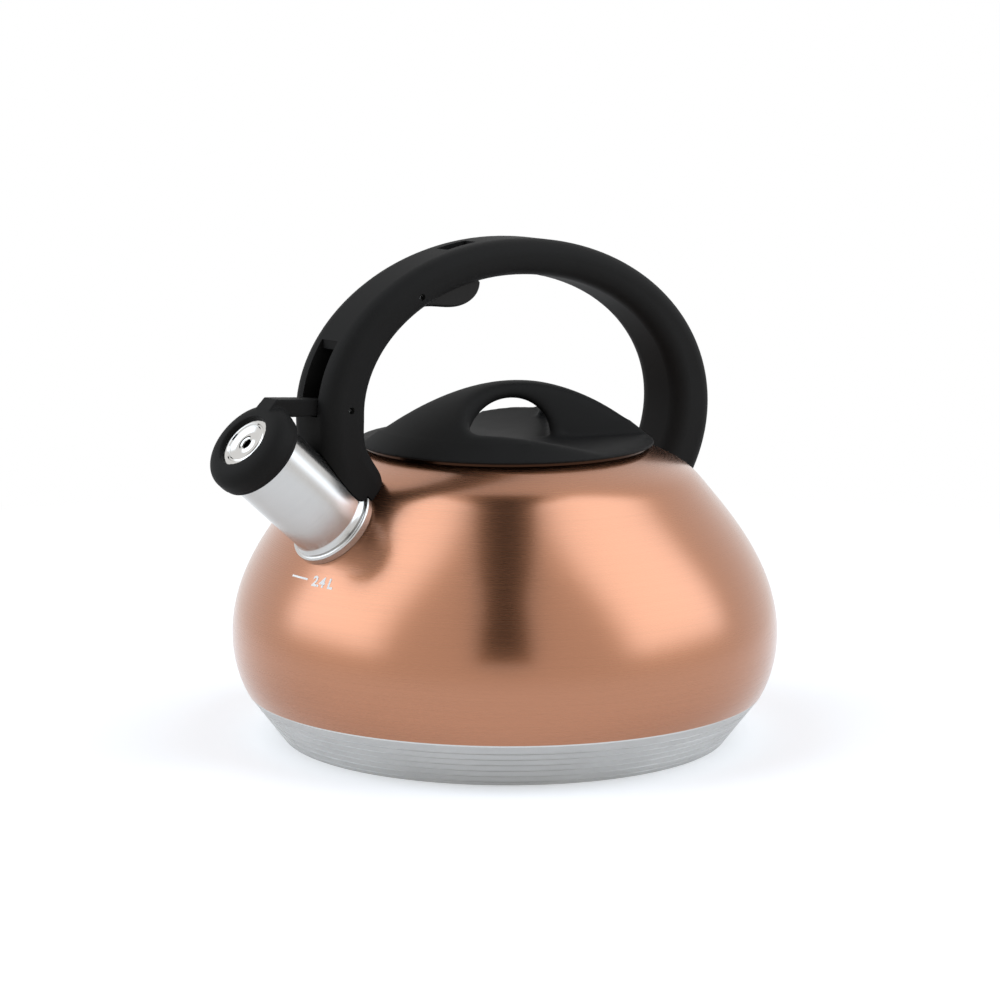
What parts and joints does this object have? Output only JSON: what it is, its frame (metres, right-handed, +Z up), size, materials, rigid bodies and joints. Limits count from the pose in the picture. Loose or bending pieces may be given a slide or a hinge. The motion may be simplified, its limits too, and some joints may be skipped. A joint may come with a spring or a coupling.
{
  "type": "stovetop whistling kettle",
  "caption": "Stovetop kettle with a round copper-coloured body, ribbed base, loop handle, lift-off arched lid and a trigger in the grip that swings the whistle cap off the spout.",
  "frame": {"origin": "centre of the base's flat underside", "axes": "+Z up, spout towards -X, handle loop in the XZ plane"},
  "size_m": [0.2488, 0.22, 0.2009],
  "materials": {
    "copper_coat": "satin",
    "base_silver": "matt",
    "spreader_aluminium": "plain",
    "steel": "brushed",
    "black_plastic": "soft-touch matt",
    "trigger_plastic": "soft-touch matt",
    "seal_rubber": "matt",
    "whistle_chrome": "polished"
  },
  "bodies": {
    "kettle": {"body_shell": "copper_coat", "base_cladding": "base_silver", "heat_spreader": "spreader_aluminium", "base_pan": "steel", "spout_tube": "steel", "spout_collar": "steel", "handle": "black_plastic", "front_bracket": "steel", "rear_bracket": "steel", "handle_screws": "steel", "trigger_pin": "steel", "cap_pin": "steel", "return_spring": "steel"},
    "trigger": {"trigger": "trigger_plastic", "link_pin": "steel"},
    "push_rod": {"push_rod": "black_plastic"},
    "cap": {"spout_cap": "black_plastic", "cap_ring": "black_plastic", "cap_seal": "seal_rubber", "whistle_back_plate": "steel", "whistle_front_plate": "whistle_chrome"},
    "lid": {"lid_cover": "black_plastic", "lid_cup": "steel", "lid_seal": "seal_rubber", "lid_screws": "steel"}
  },
  "joints": [
    {"name": "trigger_squeeze", "type": "hinge", "parent": "kettle", "child": "trigger", "pos_m": [-0.0528, 0, 0.1812], "axis": [0, -1, 0], "range_deg": [0, 16], "stiffness_Nm_per_rad": 0.6, "springref_deg": -14.32, "deforming": ["return_spring"]},
    {"name": "rod_push", "type": "slide", "parent": "kettle", "child": "push_rod", "axis": [0.342, 0, -0.9397], "range_m": [0, 0.0035]},
    {"name": "cap_lift", "type": "hinge", "parent": "kettle", "child": "cap", "pos_m": [-0.0873, 0, 0.1401], "axis": [0, 1, 0], "range_deg": [0, 40.1]},
    {"name": "lid_lift", "type": "slide", "parent": "kettle", "child": "lid", "axis": [0, 0, 1], "range_m": [0, 0.028]}
  ],
  "couplings": [
    {"joint": "rod_push", "follows": "trigger_squeeze", "m_per_rad": 0.0125},
    {"joint": "cap_lift", "follows": "trigger_squeeze", "ratio": 2.5}
  ]
}
